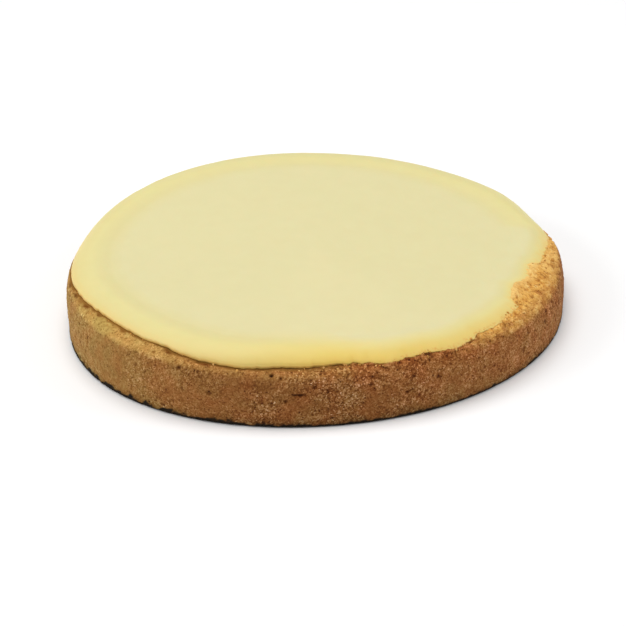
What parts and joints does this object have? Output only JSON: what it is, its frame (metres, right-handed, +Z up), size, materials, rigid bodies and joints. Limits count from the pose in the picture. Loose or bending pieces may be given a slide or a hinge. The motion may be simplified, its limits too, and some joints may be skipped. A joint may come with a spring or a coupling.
{
  "type": "baked cheesecake",
  "caption": "Whole round baked cheesecake: a smooth pale yellow filling in a low biscuit-crumb crust with an uneven rim.",
  "frame": {"origin": "middle of the flat underside, on the surface the cake stands on", "axes": "+Z up through the cake; -Y towards the front, +X towards the side where the broad crumb shows"},
  "size_m": [0.2025, 0.2019, 0.0277],
  "materials": {
    "crumb_crust": "rough, pressed golden-brown biscuit crumb",
    "baked_filling": "smooth satin baked cream cheese, pale yellow"
  },
  "bodies": {
    "root": {"crust": "crumb_crust", "filling": "baked_filling"}
  },
  "joints": []
}
